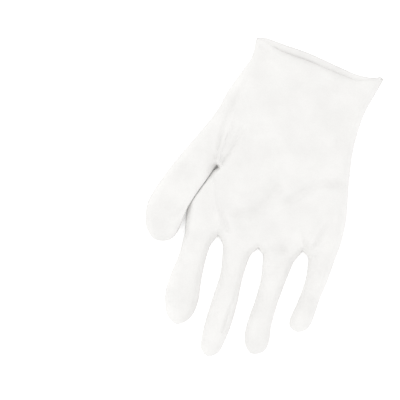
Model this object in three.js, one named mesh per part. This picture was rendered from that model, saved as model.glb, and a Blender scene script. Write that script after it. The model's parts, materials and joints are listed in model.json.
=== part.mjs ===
// Cotton inspection glove for the right hand, lying palm up with its thumb beside the palm.
// Millimetres, +Z up. The fingers point to -Y, the cuff to +Y and the thumb to -X.
// Two knit panels of one outline are joined by a seam that runs round the whole hand.
import * as THREE from "three";

// The palm: its length from the cuff to the finger crotches, and its widths.
const PALM_LENGTH = 150;
const KNUCKLE_WIDTH = 112;
const WRIST_WIDTH = 96;
const CUFF_WIDTH = 100.2;

// How far the raw edge of each panel dips below the cuff corners.
const FRONT_CUFF_DIP = 9;
const BACK_CUFF_DIP = 3.3;

// The cloth and the seam allowance turned inside, which stands at half height.
const WALL = 1;
const SEAM_HEIGHT = 3;
const SEAM_THICKNESS = 0.8;
const SEAM_WIDTH = 3.8;
const SEAM_RECESS = 0.45;
const CLEARANCE = 0.3;

// The rounding at the seam, and how far the front panel puffs up inside it.
const FRONT_EDGE_RADIUS = 1.6;
const BACK_EDGE_RADIUS = 3;
const PUFF = 5.2;
const CUFF_PUFF = 3;
const CUFF_PUFF_SHARE = 0.3;
const PUFF_REACH = 6.5;
const PALM_RISE = 1.6;
const PALM_REACH = 26;

// How far the thumb's inner side is raised where it lies over the edge of the palm. It
// rises over shares of the thumb's length from a slanted start, and eases off to the tip's
// share of the lift. Across the thumb it rises between two shares of the half width.
const THUMB_LIFT = 5;
const LIFT_SHARES = {
  slant: 0.153,
  rise: 0.17,
  easeFrom: 0.45,
  easeTo: 0.9,
  tip: 0.2,
  outer: -0.6,
  inner: 0.65,
};

// Folds and dents of the front panel: the widest and the highest.
const FOLD_WIDTH = 9;
const FOLD_HEIGHT = 1.6;
const FOLD_SEAM_MARGIN = 3;

// Each digit: length from its root to its tip, width, lean in degrees towards +X.
// Rows of its outline: along, left, right, as shares of the length and the half width.
const DIGITS = {
  index: {
    length: 70.5,
    width: 25.5,
    lean: 1.6,
    tip: 0.08,
    sides: [
      [0.1, -0.92, 0.68],
      [0.3, -0.94, 0.67],
      [0.5, -1.05, 0.78],
      [0.7, -1.06, 0.94],
      [0.85, -0.83, 0.86],
      [0.95, -0.5, 0.56],
    ],
  },
  middle: {
    length: 88.6,
    width: 20,
    lean: 3,
    tip: 0.02,
    sides: [
      [0.04, -1.18, 1.3],
      [0.1, -0.96, 1.08],
      [0.3, -0.67, 1.02],
      [0.5, -0.74, 1.13],
      [0.7, -0.81, 1.11],
      [0.85, -0.77, 0.96],
      [0.95, -0.6, 0.72],
    ],
  },
  ring: {
    length: 80.9,
    width: 19,
    lean: 3,
    tip: 0.02,
    sides: [
      [0.04, -1.52, 1.37],
      [0.1, -1.15, 1.22],
      [0.3, -0.89, 1.02],
      [0.5, -0.87, 0.88],
      [0.7, -0.99, 0.88],
      [0.85, -0.95, 1.03],
      [0.95, -0.62, 0.84],
    ],
  },
  little: {
    length: 59.1,
    width: 17,
    lean: 2.2,
    tip: -0.02,
    sides: [
      [0.04, -0.94, 1.46],
      [0.1, -0.73, 1.44],
      [0.3, -0.53, 1.35],
      [0.5, -0.56, 1.17],
      [0.7, -0.71, 1.1],
      [0.85, -0.87, 1.02],
      [0.95, -0.74, 0.67],
    ],
  },
  thumb: {
    length: 82,
    width: 27,
    lean: -12.6,
    tip: -0.05,
    sides: [
      [0.15, -1.14, 0.81],
      [0.3, -1.29, 0.75],
      [0.45, -1.39, 0.67],
      [0.6, -1.46, 0.65],
      [0.75, -1.4, 0.8],
      [0.87, -1.1, 0.82],
      [0.95, -0.72, 0.6],
    ],
  },
};

// Left side from the cuff to the root of the thumb: along the palm, and across from the
// middle as a share of the width named. The right side has the same columns.
const LEFT_SIDE = [
  [0, -0.5, CUFF_WIDTH],
  [0.1, -0.512, WRIST_WIDTH],
  [0.19, -0.552, WRIST_WIDTH],
  [0.29, -0.601, WRIST_WIDTH],
  [0.4, -0.544, KNUCKLE_WIDTH],
  [0.5, -0.589, KNUCKLE_WIDTH],
];
const RIGHT_SIDE = [
  [0, 0.5, CUFF_WIDTH],
  [0.1, 0.49, WRIST_WIDTH],
  [0.19, 0.463, WRIST_WIDTH],
  [0.29, 0.459, WRIST_WIDTH],
  [0.4, 0.405, KNUCKLE_WIDTH],
  [0.55, 0.445, KNUCKLE_WIDTH],
  [0.7, 0.497, KNUCKLE_WIDTH],
  [0.83, 0.519, KNUCKLE_WIDTH],
  [0.94, 0.516, KNUCKLE_WIDTH],
];

// Edge of the palm under the thumb, from the thumb's crotch to the index finger:
// across and along, as shares of the knuckle width and the palm length.
const PALM_EDGE = [
  [-0.43, 0.673],
  [-0.418, 0.692],
  [-0.441, 0.72],
  [-0.473, 0.757],
  [-0.503, 0.8],
  [-0.518, 0.847],
  [-0.517, 0.907],
  [-0.5, 0.963],
  [-0.484, 1.033],
];

// Finger crotches from the index finger to the little finger, in the same shares.
const CROTCHES = [
  [-0.484, 1.033],
  [-0.276, 1.003],
  [0.006, 0.999],
  [0.293, 0.945],
  [0.516, 0.94],
];

// Raw edges at the cuff: across the cuff, and the dip as a share of the panel's own dip.
const FRONT_CUFF = [
  [0, 0],
  [0.07, 0.27],
  [0.13, 0.43],
  [0.2, 0.51],
  [0.44, 0.57],
  [0.62, 0.81],
  [0.8, 1],
  [0.86, 0.9],
  [0.91, 0.5],
  [1, 0],
];
const BACK_CUFF = [
  [0, 0],
  [0.2, 0.24],
  [0.4, -0.2],
  [0.6, 0.45],
  [0.78, 1],
  [0.88, 0.8],
  [1, 0],
];

// Folds and dents of the front panel, each along one line: where it lies, the shares
// across and along of its two ends, its width and its height. Heights below zero sink.
const FOLDS = [
  ["palm", -0.418, 0.18, -0.436, 0.33, 0.45, -0.8],
  ["palm", -0.436, 0.33, -0.443, 0.62, 0.5, -0.95],
  ["palm", -0.48, 0.36, -0.475, 0.6, 0.5, 0.5],
  ["palm", -0.377, 0.43, -0.412, 0.62, 0.5, -0.55],
  ["palm", -0.4, 0.76, -0.27, 0.95, 0.8, 0.55],
  ["palm", -0.27, 0.88, -0.19, 0.92, 1.2, -0.6],
  ["palm", -0.09, 0.87, -0.01, 0.71, 1.3, -0.55],
  ["palm", 0.18, 0.63, 0.41, 0.55, 0.8, -0.4],
  ["palm", 0.19, 0.3, 0.12, 0.15, 1.5, -0.35],
  ["palm", 0.29, 0.93, 0.266, 0.87, 0.5, -0.7],
  ["palm", 0.3, 0.9, 0.38, 0.855, 0.6, -0.5],
  ["palm", 0.14, 0.96, 0.14, 0.98, 0.8, -0.6],
  ["ring", 0.1, 0.18, 0.1, 0.2, 0.8, -0.6],
  ["index", -0.2, 0.02, -0.35, 0.34, 0.7, -0.45],
  ["index", -0.5, 0.68, -0.4, 0.74, 0.9, -0.45],
  ["middle", 0.1, 0.35, 0.1, 0.8, 0.6, -0.3],
  ["thumb", -0.45, -0.03, 0.3, 0.09, 0.5, -0.5],
  ["thumb", 0.3, 0.66, 0.05, 0.76, 0.5, -0.6],
];

// Steps of the grids that cover the panels, as shares of each stretch.
const FINE = {
  columns: [0, 0.06, 0.18, 0.34, 0.5, 0.66, 0.82, 0.94, 1],
  rows: [0, 0.05, 0.1, 0.15, 0.22, 0.3, 0.39, 0.48, 0.57, 0.66, 0.76, 0.86, 0.93, 0.98, 1],
  cuffRows: 10,
  edgeRows: 9,
};
const PLAIN = {
  columns: [0, 0.07, 0.26, 0.5, 0.74, 0.93, 1],
  rows: [0, 0.05, 0.1, 0.15, 0.26, 0.4, 0.54, 0.68, 0.82, 0.93, 0.98, 1],
  cuffRows: 8,
  edgeRows: 7,
};

const CURVE_STEPS = 24;
const CUFF_EXTENSION = 80;
const DEGREE = Math.PI / 180;

const mix = (a, b, share) => a + (b - a) * share;
const clamp = (value) => Math.min(1, Math.max(0, value));
const smooth = (value) => clamp(value) ** 2 * (3 - 2 * clamp(value));
const point = (x, y) => new THREE.Vector2(x, y);

// A place on the palm from its shares across and along, with the width to use.
function onPalm(across, along, width = KNUCKLE_WIDTH) {
  return point(across * width, PALM_LENGTH * (0.5 - along));
}

const crotches = CROTCHES.map(([across, along]) => onPalm(across, along));
const thumbRoot = [
  onPalm(LEFT_SIDE.at(-1)[1], LEFT_SIDE.at(-1)[0], LEFT_SIDE.at(-1)[2]),
  onPalm(...PALM_EDGE[0]),
];

// The two ends of the root of each digit.
const FINGERS = ["index", "middle", "ring", "little"];
const ROOTS = { thumb: thumbRoot };
FINGERS.forEach((name, i) => {
  ROOTS[name] = crotches.slice(i, i + 2);
});

// The frame of a digit: the middle of its root, its axis and the direction across it.
function digitFrame(name) {
  const base = ROOTS[name][0].clone().add(ROOTS[name][1]).multiplyScalar(0.5);
  const lean = DIGITS[name].lean * DEGREE;
  const axis = point(Math.sin(lean), -Math.cos(lean));
  return { base, axis, across: point(-axis.y, axis.x) };
}

function onDigit(name, across, along) {
  const frame = digitFrame(name);
  return frame.base
    .addScaledVector(frame.axis, along * DIGITS[name].length)
    .addScaledVector(frame.across, (across * DIGITS[name].width) / 2);
}

// Points at the given shares of the length of a line through many close points.
function atShares(line, shares) {
  const lengths = [0];
  for (let i = 1; i < line.length; i += 1) {
    lengths.push(lengths[i - 1] + line[i].distanceTo(line[i - 1]));
  }
  return shares.map((share) => {
    const target = share * lengths.at(-1);
    let i = 1;
    while (i < line.length - 1 && lengths[i] < target) i += 1;
    const step = (target - lengths[i - 1]) / (lengths[i] - lengths[i - 1]);
    return line[i - 1].clone().lerp(line[i], step);
  });
}

// Part of a smooth curve, from one of its control points to another, at given shares.
function stretch(curve, from, to, shares) {
  const last = curve.points.length - 1;
  const steps = CURVE_STEPS * (to - from);
  const line = [];
  for (let i = 0; i <= steps; i += 1) {
    line.push(curve.getPoint((from + i / CURVE_STEPS) / last));
  }
  return atShares(line, shares);
}

const evenShares = (count) => Array.from({ length: count + 1 }, (_, i) => i / count);

// Shares of the length at which the points of a line lie.
function sharesOf(line) {
  const lengths = [0];
  for (let i = 1; i < line.length; i += 1) {
    lengths.push(lengths[i - 1] + line[i].distanceTo(line[i - 1]));
  }
  return lengths.map((length) => length / lengths.at(-1));
}

// A grid of points inside four edges that meet at their ends: root and end run from left
// to right, left and right run from the root to the end.
function fill(root, end, left, right) {
  const [rootShares, endShares] = [sharesOf(root), sharesOf(end)];
  const [leftShares, rightShares] = [sharesOf(left), sharesOf(right)];
  const rows = left.length - 1;
  const columns = root.length - 1;
  return left.map((_, i) =>
    root.map((_, j) => {
      if (i === 0) return root[j];
      if (i === rows) return end[j];
      if (j === 0) return left[i];
      if (j === columns) return right[i];
      const u = mix(rootShares[j], endShares[j], i / rows);
      const v = mix(leftShares[i], rightShares[i], u);
      const sides = left[i].clone().lerp(right[i], u);
      const ends = root[j].clone().lerp(end[j], v);
      const nearCorners = root[0].clone().lerp(root[columns], u);
      const farCorners = end[0].clone().lerp(end[columns], u);
      return sides.add(ends).sub(nearCorners.lerp(farCorners, v));
    }),
  );
}

// One digit's grid, from the points of its root to its tip.
function digitGrid(name, root, detail) {
  const { sides, tip } = DIGITS[name];
  const left = sides.map(([along, across]) => onDigit(name, across, along));
  const right = sides.map(([along, , across]) => onDigit(name, across, along));
  const control = [root[0], ...left, onDigit(name, tip, 1), ...right.reverse(), root.at(-1)];
  const curve = new THREE.SplineCurve(control);
  const last = control.length - 1;
  const [corner, farCorner] = [sides.length, last - sides.length];
  const leftEdge = stretch(curve, 0, corner, detail.rows);
  const end = stretch(curve, corner, farCorner, detail.columns);
  const backwards = detail.rows.map((share) => 1 - share).reverse();
  const rightEdge = stretch(curve, farCorner, last, backwards).reverse();
  return fill(root, end, leftEdge, rightEdge);
}

// The line through the finger crotches, with the columns of each finger between them.
function knuckleLine(detail) {
  return crotches.slice(1).flatMap((end, group) =>
    detail.columns
      .slice(group ? 1 : 0)
      .map((share) => crotches[group].clone().lerp(end, share)),
  );
}

// The line of a raw cuff edge between the two cuff corners.
function cuffEdge(table, dip, detail) {
  const drop = table.map(([across, share]) => onPalm(across - 0.5, 0, CUFF_WIDTH)
    .sub(point(0, dip * share)));
  const [first, last] = [crotches[0].x, crotches.at(-1).x];
  const shares = knuckleLine(detail).map(({ x }) => (x - first) / (last - first));
  return stretch(new THREE.SplineCurve(drop), 0, drop.length - 1, shares);
}

// The plan of a panel: the grids of the palm and the digits, and the outline in order.
function makePlan(cuffTable, cuffDip, detail) {
  const leftCurve = new THREE.SplineCurve([
    ...LEFT_SIDE.map(([along, across, width]) => onPalm(across, along, width)),
    onDigit("thumb", DIGITS.thumb.sides[0][1], DIGITS.thumb.sides[0][0]),
  ]);
  const rightCurve = new THREE.SplineCurve(
    RIGHT_SIDE.map(([along, across, width]) => onPalm(across, along, width)),
  );
  const edgeCurve = new THREE.SplineCurve(PALM_EDGE.map((row) => onPalm(...row)));
  const side = stretch(leftCurve, 0, LEFT_SIDE.length - 1, evenShares(detail.cuffRows));
  const root = detail.columns.map((share) => thumbRoot[0].clone().lerp(thumbRoot[1], share));
  const edge = stretch(edgeCurve, 0, PALM_EDGE.length - 1, evenShares(detail.edgeRows));
  const left = [...side, ...root.slice(1), ...edge.slice(1)];
  left[0] = onPalm(-0.5, 0, CUFF_WIDTH);
  left[side.length - 1] = root[0];
  left[side.length + root.length - 2] = root.at(-1);
  left[left.length - 1] = crotches[0];
  const heights = left.map((p) => (left[0].y - p.y) / (left[0].y - crotches[0].y));
  const right = stretch(rightCurve, 0, RIGHT_SIDE.length - 1, heights);
  right[0] = onPalm(0.5, 0, CUFF_WIDTH);
  right[right.length - 1] = crotches.at(-1);
  const knuckles = knuckleLine(detail);
  const cuff = cuffEdge(cuffTable, cuffDip, detail);
  cuff[0] = left[0];
  cuff[cuff.length - 1] = right[0];
  const across = detail.columns.length - 1;
  const grids = { palm: fill(cuff, knuckles, left, right) };
  grids.thumb = digitGrid("thumb", root, detail);
  FINGERS.forEach((name, group) => {
    const part = knuckles.slice(group * across, (group + 1) * across + 1);
    grids[name] = digitGrid(name, part, detail);
  });
  return { grids, side, edge, right };
}

// The edges of a digit in order round the outline, without the points of its root.
function roundDigit(grid) {
  const left = grid.map((row) => row[0]);
  const right = grid.map((row) => row.at(-1)).reverse();
  return [...left.slice(1), ...grid.at(-1).slice(1), ...right.slice(1, -1)];
}

// The closed run of the seam from the left cuff corner to the right one.
function outlineOf(plan) {
  const { grids, side, edge, right } = plan;
  const palm = grids.palm;
  const toThumb = palm.slice(0, side.length).map((row) => row[0]);
  const toIndex = palm.slice(palm.length - edge.length).map((row) => row[0]);
  const line = toThumb.map((p) => ({ p, from: "side" }));
  const add = (points, from) => points.forEach((p) => line.push({ p, from }));
  const thumb = roundDigit(grids.thumb);
  const turn = grids.thumb.length + grids.thumb[0].length - 3;
  add(thumb.slice(0, turn), "thumb");
  add(thumb.slice(turn), "thumb inside");
  add(toIndex.slice(0, 1), "crotch");
  add(toIndex.slice(1), "edge");
  FINGERS.forEach((name) => {
    add(roundDigit(grids[name]), "finger");
    add([grids[name][0].at(-1)], "finger");
  });
  add(right.slice(0, -1).reverse(), "right");
  return line;
}

// Distance from a place to the nearer edges, rounded so that it has no creases: the
// inverse cubes of the distance are summed along each piece of the outline.
function softDistance(place, pieces) {
  let sum = 0;
  for (const [from, to] of pieces) {
    const a = from.clone().sub(place);
    const b = to.clone().sub(place);
    const product = a.length() * b.length();
    const reach = product * (product + a.dot(b));
    if (reach < 1e-9) return 0;
    sum += (from.distanceTo(to) * (a.length() + b.length())) / reach;
  }
  return Math.sqrt(2 / sum);
}

// Pieces of the outline that bound the palm and the fingers, or the thumb. Both run on
// past the cuff, so that its open end doesn't count as an edge.
function edgePieces(outline, forThumb) {
  const skip = forThumb ? ["edge", "finger", "right"] : ["thumb inside"];
  const away = point(0, CUFF_EXTENSION);
  const [first, last] = [outline[0].p, outline.at(-1).p];
  const pieces = [[first.clone().add(away), first]];
  for (let i = 1; i < outline.length; i += 1) {
    const [from, to] = [outline[i - 1], outline[i]];
    const crotchOfThumb = to.from === "crotch" && !forThumb;
    if (!skip.includes(to.from) && !crotchOfThumb) pieces.push([from.p, to.p]);
  }
  if (!forThumb) pieces.push([last, last.clone().add(away)]);
  return pieces;
}

// How far the thumb is raised at a place: nothing at its root and along its outer side,
// most where its inner side lies over the palm, and little at its tip.
function thumbLift(place) {
  const { base, axis, across } = digitFrame("thumb");
  const offset = place.clone().sub(base);
  const along = offset.dot(axis) / DIGITS.thumb.length;
  const side = (2 * offset.dot(across)) / DIGITS.thumb.width;
  const { slant, rise, easeFrom, easeTo, tip, outer, inner } = LIFT_SHARES;
  const past = along - slant * side;
  const eased = mix(1, tip, smooth((past - easeFrom) / (easeTo - easeFrom)));
  const sideways = smooth((side - outer) / (inner - outer));
  return THUMB_LIFT * smooth(past / rise) * eased * sideways;
}

// Quarter circle from nothing at the edge to one at the given radius.
const round = (distance, radius) => Math.sqrt(1 - (1 - clamp(distance / radius)) ** 2);

// Height of the folds and dents of the front panel at a place.
function foldHeight(place) {
  return FOLDS.reduce((sum, [where, x1, y1, x2, y2, width, height]) => {
    const locate = (x, y) => (where === "palm" ? onPalm(x, y) : onDigit(where, x, y));
    const start = locate(x1, y1);
    const line = locate(x2, y2).sub(start);
    const share = clamp(place.clone().sub(start).dot(line) / line.lengthSq());
    const gap = place.distanceTo(start.addScaledVector(line, share));
    const spread = (FOLD_WIDTH * width) / 2;
    return sum + FOLD_HEIGHT * height * Math.exp(-((gap / spread) ** 2));
  }, 0);
}

const halfSeam = SEAM_THICKNESS / 2 + CLEARANCE;

// Height of the front panel's outer face at a place that lies so far from the edge.
function frontHeight(place, distance) {
  const along = 0.5 - place.y / PALM_LENGTH;
  const puff = mix(CUFF_PUFF, PUFF, smooth(along / CUFF_PUFF_SHARE));
  const swell = 1 - Math.exp(-((distance / PUFF_REACH) ** 2));
  const rise = 1 - Math.exp(-((distance / PALM_REACH) ** 2));
  const fold = foldHeight(place) * (1 - Math.exp(-((distance / FOLD_SEAM_MARGIN) ** 2)));
  const edge = FRONT_EDGE_RADIUS * round(distance, FRONT_EDGE_RADIUS);
  return SEAM_HEIGHT + halfSeam + edge + puff * swell + PALM_RISE * rise + fold;
}

// Height of the back panel's outer face, which is flat where it rests.
function backHeight(place, distance) {
  return (SEAM_HEIGHT - halfSeam) * (1 - round(distance, BACK_EDGE_RADIUS));
}

// Directions into the glove at each point of the outline.
function inwardAt(line) {
  return line.map((p, i) => {
    const before = p.clone().sub(line[Math.max(i - 1, 0)]).normalize();
    const after = line[Math.min(i + 1, line.length - 1)].clone().sub(p).normalize();
    const run = before.add(after);
    return point(-run.y, run.x).normalize();
  });
}

const keyOf = (p) => p.x.toFixed(3) + " " + p.y.toFixed(3);

// A closed mesh from corner points and faces, each face a list of corners.
function solid(name, color, corners, faces) {
  const geometry = new THREE.BufferGeometry();
  const position = corners.flatMap((corner) => [corner.x, corner.y, corner.z]);
  geometry.setAttribute("position", new THREE.Float32BufferAttribute(position, 3));
  geometry.setIndex(faces.flat());
  geometry.computeVertexNormals();
  const material = new THREE.MeshStandardMaterial({ color, roughness: 0.95, metalness: 0 });
  const mesh = new THREE.Mesh(geometry, material);
  mesh.name = name;
  return mesh;
}

// A panel: the plan raised to its outer face, a second face one wall further in, and a
// rim between them along the seam and the cuff.
function makePanel(name, color, plan, heightAt, facesUp) {
  const outline = outlineOf(plan);
  const pieces = { palm: edgePieces(outline, false), thumb: edgePieces(outline, true) };
  const inward = inwardAt(outline.map(({ p }) => p));
  const rim = new Map(outline.map(({ p }, i) => [keyOf(p), inward[i]]));
  const cells = new Map();
  const order = [];
  const addPoint = (p, where) => {
    const key = keyOf(p);
    if (!cells.has(key)) {
      cells.set(key, { p, index: order.length, heights: [], distances: [] });
      order.push(key);
    }
    const cell = cells.get(key);
    const field = where === "thumb" ? pieces.thumb : pieces.palm;
    const distance = rim.has(key) ? 0 : softDistance(p, field);
    const lift = where === "thumb" ? thumbLift(p) : 0;
    cell.distances.push(distance);
    cell.heights.push(heightAt(p, distance) + lift);
    return cell.index;
  };
  const mean = (values) => values.reduce((sum, value) => sum + value, 0) / values.length;
  const quads = [];
  Object.entries(plan.grids).forEach(([where, grid]) => {
    const ids = grid.map((row) => row.map((p) => addPoint(p, where)));
    for (let i = 1; i < ids.length; i += 1) {
      for (let j = 1; j < ids[i].length; j += 1) {
        quads.push([ids[i - 1][j - 1], ids[i][j - 1], ids[i][j], ids[i - 1][j]]);
      }
    }
  });
  const list = order.map((key) => cells.get(key));
  const outer = list.map(({ p, heights }) => new THREE.Vector3(p.x, p.y, mean(heights)));
  const depth = list.map(({ distances }) => mean(distances));
  const skin = quads.flatMap(([a, b, c, d]) =>
    depth[a] + depth[c] >= depth[b] + depth[d]
      ? [[a, b, c], [a, c, d]]
      : [[a, b, d], [b, c, d]],
  );
  const turned = facesUp ? skin : skin.map(([a, b, c]) => [a, c, b]);
  const normals = outer.map(() => new THREE.Vector3());
  turned.forEach(([a, b, c]) => {
    const normal = outer[b].clone().sub(outer[a]).cross(outer[c].clone().sub(outer[a]));
    [a, b, c].forEach((corner) => normals[corner].add(normal));
  });
  const inner = outer.map((corner, i) => {
    const into = rim.get(order[i]);
    if (into) return corner.clone().add(new THREE.Vector3(into.x, into.y, 0).setLength(WALL));
    return corner.clone().addScaledVector(normals[i].normalize(), -WALL);
  });
  const count = outer.length;
  const edges = new Set(turned.flatMap(([a, b, c]) => [a + " " + b, b + " " + c, c + " " + a]));
  const rims = [...edges].flatMap((edge) => {
    const [a, b] = edge.split(" ").map(Number);
    if (edges.has(b + " " + a)) return [];
    return [[b, a, a + count], [b, a + count, b + count]];
  });
  const inside = turned.map(([a, b, c]) => [a + count, c + count, b + count]);
  return solid(name, color, [...outer, ...inner], [...turned, ...inside, ...rims]);
}

// The seam allowance of both panels, a flat strip inside the outline at half height.
function makeSeam(name, color, plan) {
  const outline = outlineOf(plan);
  const inward = inwardAt(outline.map(({ p }) => p));
  const corners = outline.flatMap(({ p, from }, i) => {
    const raised = from.startsWith("thumb");
    const at = (offset, side) => {
      const place = p.clone().addScaledVector(inward[i], offset);
      const halfway = p.clone().addScaledVector(inward[i], offset / 2);
      const lift = raised ? thumbLift(halfway) : 0;
      const height = SEAM_HEIGHT + lift + (side * SEAM_THICKNESS) / 2;
      return new THREE.Vector3(place.x, place.y, height);
    };
    const innerEdge = SEAM_RECESS + SEAM_WIDTH;
    return [at(SEAM_RECESS, -1), at(innerEdge, -1), at(innerEdge, 1), at(SEAM_RECESS, 1)];
  });
  const faces = [];
  for (let i = 1; i < outline.length; i += 1) {
    const [from, to] = [4 * (i - 1), 4 * i];
    for (let k = 0; k < 4; k += 1) {
      const next = (k + 1) % 4;
      faces.push([from + k, to + next, to + k], [from + k, from + next, to + next]);
    }
  }
  const last = 4 * (outline.length - 1);
  faces.push([0, 2, 1], [0, 3, 2], [last, last + 1, last + 2], [last, last + 2, last + 3]);
  return solid(name, color, corners, faces);
}

const glove = new THREE.Group();
glove.name = "inspection_glove";
const frontPlan = makePlan(FRONT_CUFF, FRONT_CUFF_DIP, FINE);
const backPlan = makePlan(BACK_CUFF, BACK_CUFF_DIP, PLAIN);
glove.add(
  makePanel("palm_panel", 0xeeeeec, frontPlan, frontHeight, true),
  makePanel("back_panel", 0xebebe8, backPlan, backHeight, false),
  makeSeam("outline_seam", 0xf2f2ef, backPlan),
);

export default glove;
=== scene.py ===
import json
import math

import bpy
import numpy as np
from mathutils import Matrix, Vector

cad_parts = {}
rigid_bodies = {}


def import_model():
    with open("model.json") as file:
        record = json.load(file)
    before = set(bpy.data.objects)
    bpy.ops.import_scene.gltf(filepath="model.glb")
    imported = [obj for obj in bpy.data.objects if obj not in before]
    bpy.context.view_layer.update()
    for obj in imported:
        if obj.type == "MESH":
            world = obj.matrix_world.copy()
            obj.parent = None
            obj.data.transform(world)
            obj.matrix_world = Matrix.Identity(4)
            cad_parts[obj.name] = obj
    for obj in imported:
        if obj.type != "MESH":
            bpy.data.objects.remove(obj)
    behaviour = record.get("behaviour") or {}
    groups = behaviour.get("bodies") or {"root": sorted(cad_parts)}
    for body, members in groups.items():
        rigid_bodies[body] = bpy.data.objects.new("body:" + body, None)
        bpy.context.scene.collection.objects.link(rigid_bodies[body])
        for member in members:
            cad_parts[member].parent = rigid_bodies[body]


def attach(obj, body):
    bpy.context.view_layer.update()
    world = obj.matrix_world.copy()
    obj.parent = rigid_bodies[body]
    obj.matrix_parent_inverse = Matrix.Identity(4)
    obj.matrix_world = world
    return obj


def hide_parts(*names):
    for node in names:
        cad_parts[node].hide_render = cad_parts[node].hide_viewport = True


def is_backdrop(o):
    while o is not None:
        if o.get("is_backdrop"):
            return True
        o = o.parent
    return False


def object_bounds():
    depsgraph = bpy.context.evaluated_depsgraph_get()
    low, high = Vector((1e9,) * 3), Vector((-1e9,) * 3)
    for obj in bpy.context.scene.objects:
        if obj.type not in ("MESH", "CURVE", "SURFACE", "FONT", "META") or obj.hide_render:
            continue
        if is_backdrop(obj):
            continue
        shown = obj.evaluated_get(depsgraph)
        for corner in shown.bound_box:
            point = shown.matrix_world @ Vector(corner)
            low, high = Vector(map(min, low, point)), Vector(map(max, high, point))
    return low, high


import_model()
CAD_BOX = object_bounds()

bl_info = {
    "name": "Inspection Glove",
    "version": (1, 0, 0),
    "blender": (4, 5, 0),
    "location": "3D View > Sidebar > Glove",
    "description": "Cotton inspection glove lying palm up, from its cut and its folds",
    "category": "Object",
}

# Outline of each digit: along, left, right, as shares of its length and its half width.
DIGITS = {
    "index": {
        "length": 0.0705, "width": 0.0255, "lean": 1.6, "tip": 0.08,
        "sides": [(0.1, -0.95, 0.68), (0.3, -0.94, 0.67), (0.5, -1.05, 0.78),
                  (0.7, -1.06, 0.94), (0.85, -0.83, 0.86), (0.95, -0.5, 0.56)],
    },
    "middle": {
        "length": 0.0886, "width": 0.02, "lean": 3.0, "tip": 0.02,
        "sides": [(0.04, -1.18, 1.37), (0.1, -0.96, 1.1), (0.3, -0.67, 1.02),
                  (0.5, -0.74, 1.13), (0.7, -0.81, 1.11), (0.85, -0.77, 0.96),
                  (0.95, -0.6, 0.72)],
    },
    "ring": {
        "length": 0.0809, "width": 0.019, "lean": 3.0, "tip": 0.02,
        "sides": [(0.07, -1.43, 1.29), (0.1, -1.2, 1.22), (0.3, -0.89, 1.02),
                  (0.5, -0.87, 0.88), (0.7, -0.99, 0.88), (0.85, -0.95, 1.03),
                  (0.95, -0.62, 0.84)],
    },
    "little": {
        "length": 0.0591, "width": 0.017, "lean": 2.2, "tip": -0.02,
        "sides": [(0.04, -0.94, 1.46), (0.1, -0.73, 1.44), (0.3, -0.53, 1.35),
                  (0.5, -0.56, 1.17), (0.7, -0.71, 1.1), (0.85, -0.87, 1.02),
                  (0.95, -0.74, 0.67)],
    },
    "thumb": {
        "length": 0.082, "width": 0.027, "lean": -12.6, "tip": -0.05,
        "sides": [(0.15, -1.14, 0.81), (0.3, -1.29, 0.75), (0.45, -1.39, 0.67),
                  (0.6, -1.46, 0.65), (0.75, -1.4, 0.8), (0.87, -1.1, 0.82),
                  (0.95, -0.72, 0.6)],
    },
}
FINGERS = ("index", "middle", "ring", "little")

# Sides of the palm: along it, across from its middle, and the width the share is of.
LEFT_SIDE = [(0, -0.5, "cuff"), (0.1, -0.512, "wrist"), (0.19, -0.552, "wrist"),
             (0.29, -0.601, "wrist"), (0.4, -0.544, "knuckle"), (0.5, -0.589, "knuckle")]
RIGHT_SIDE = [(0, 0.5, "cuff"), (0.1, 0.49, "wrist"), (0.19, 0.463, "wrist"),
              (0.29, 0.459, "wrist"), (0.4, 0.405, "knuckle"), (0.55, 0.445, "knuckle"),
              (0.7, 0.497, "knuckle"), (0.83, 0.519, "knuckle"), (0.94, 0.516, "knuckle")]

# Edge of the palm under the thumb, with and without the small gap that stays open at the
# thumb's crotch, and the finger crotches: across and along.
PALM_EDGE = [(-0.466, 0.717), (-0.492, 0.755), (-0.517, 0.8), (-0.532, 0.847),
             (-0.533, 0.907), (-0.521, 0.963), (-0.495, 1.033)]
OPEN_EDGE = [(-0.43, 0.673), (-0.421, 0.68), (-0.437, 0.692), *PALM_EDGE]
CLOSED_EDGE = [(-0.43, 0.673), (-0.442, 0.693), *PALM_EDGE]
CROTCHES = [(-0.495, 1.033), (-0.276, 1.003), (0.006, 0.999), (0.293, 0.945),
            (0.516, 0.94)]

# Raw edges at the cuff: across the cuff, and the dip as a share of the panel's own.
FRONT_CUFF = [(0, 0), (0.06, -0.05), (0.12, 0.1), (0.2, 0.42), (0.44, 0.53),
              (0.62, 0.68), (0.78, 0.76), (0.84, 0.6), (0.9, 0.24), (1, 0)]
BACK_CUFF = [(0, 0), (0.08, -0.45), (0.2, -0.35), (0.4, -0.25), (0.6, 0.4), (0.78, 0.95),
             (0.88, 0.75), (1, 0)]

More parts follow.
